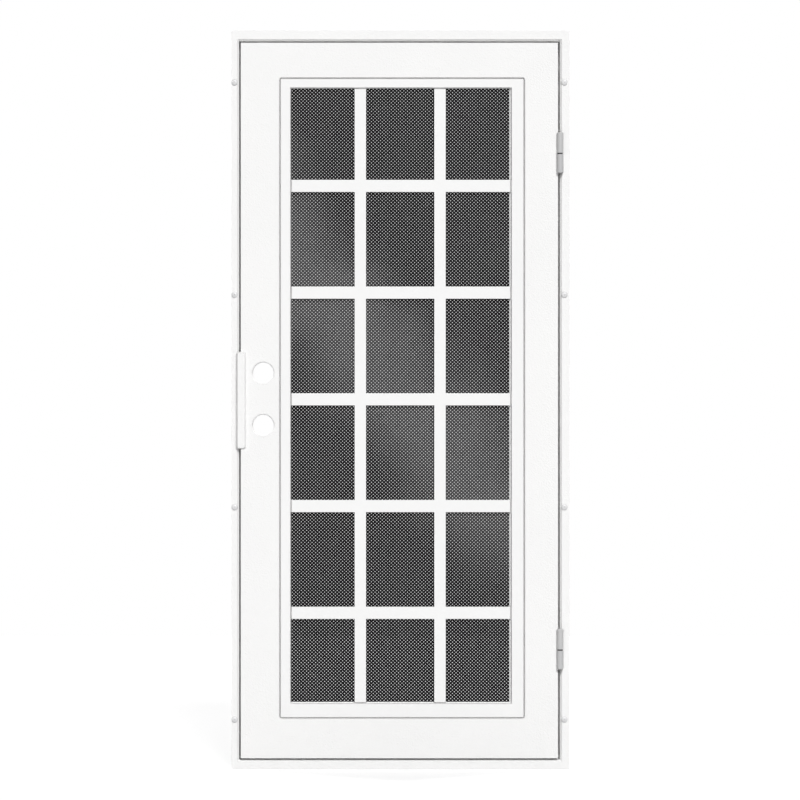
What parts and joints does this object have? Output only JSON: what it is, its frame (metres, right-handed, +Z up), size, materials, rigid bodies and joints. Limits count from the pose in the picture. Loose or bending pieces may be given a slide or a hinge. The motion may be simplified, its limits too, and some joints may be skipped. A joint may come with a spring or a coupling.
{
  "type": "security screen door",
  "caption": "Steel security screen door: a barred, perforated-screen leaf that swings outward on lift-off hinges in a flanged wall frame, with open lock bores.",
  "frame": {"origin": "on the wall face of the frame's flange, in the middle of the sill flange", "axes": "+X to the right as seen from outside, +Y into the house, +Z up"},
  "size_m": [0.95, 0.07, 2.076],
  "materials": {
    "coated_steel": "off-white powder coat, satin",
    "hinge_steel": "light grey powder coat, satin",
    "screen_steel": "black powder coat on perforated steel",
    "seal_rubber": "matt black foam rubber",
    "washer_plastic": "black nylon"
  },
  "bodies": {
    "frame": {"latch_jamb": "coated_steel", "hinge_jamb": "coated_steel", "head": "coated_steel", "sill": "coated_steel", "latch_stop": "coated_steel", "hinge_stop": "coated_steel", "head_stop": "coated_steel", "sill_stop": "coated_steel", "latch_seal": "seal_rubber", "hinge_seal": "seal_rubber", "head_seal": "seal_rubber", "sill_seal": "seal_rubber", "upper_hinge_fixed_barrel": "hinge_steel", "lower_hinge_fixed_barrel": "hinge_steel", "upper_hinge_washer": "washer_plastic", "lower_hinge_washer": "washer_plastic"},
    "leaf": {"latch_stile": "coated_steel", "hinge_stile": "coated_steel", "top_rail": "coated_steel", "bottom_rail": "coated_steel", "latch_bore_sleeve": "coated_steel", "deadbolt_bore_sleeve": "coated_steel", "latch_guard": "coated_steel", "latch_trim": "coated_steel", "hinge_trim": "coated_steel", "top_trim": "coated_steel", "bottom_trim": "coated_steel", "latch_side_upright": "coated_steel", "hinge_side_upright": "coated_steel", "crossbar_1": "coated_steel", "crossbar_2": "coated_steel", "crossbar_3": "coated_steel", "crossbar_4": "coated_steel", "crossbar_5": "coated_steel", "screen": "screen_steel", "latch_bead": "coated_steel", "hinge_bead": "coated_steel", "top_bead": "coated_steel", "bottom_bead": "coated_steel", "upper_hinge_lifting_barrel": "hinge_steel", "lower_hinge_lifting_barrel": "hinge_steel"}
  },
  "joints": [
    {"name": "leaf_swing", "type": "hinge", "parent": "frame", "child": "leaf", "pos_m": [0.4485, -0.017, 1], "axis": [0, 0, 1], "range_deg": [0, 170]}
  ]
}
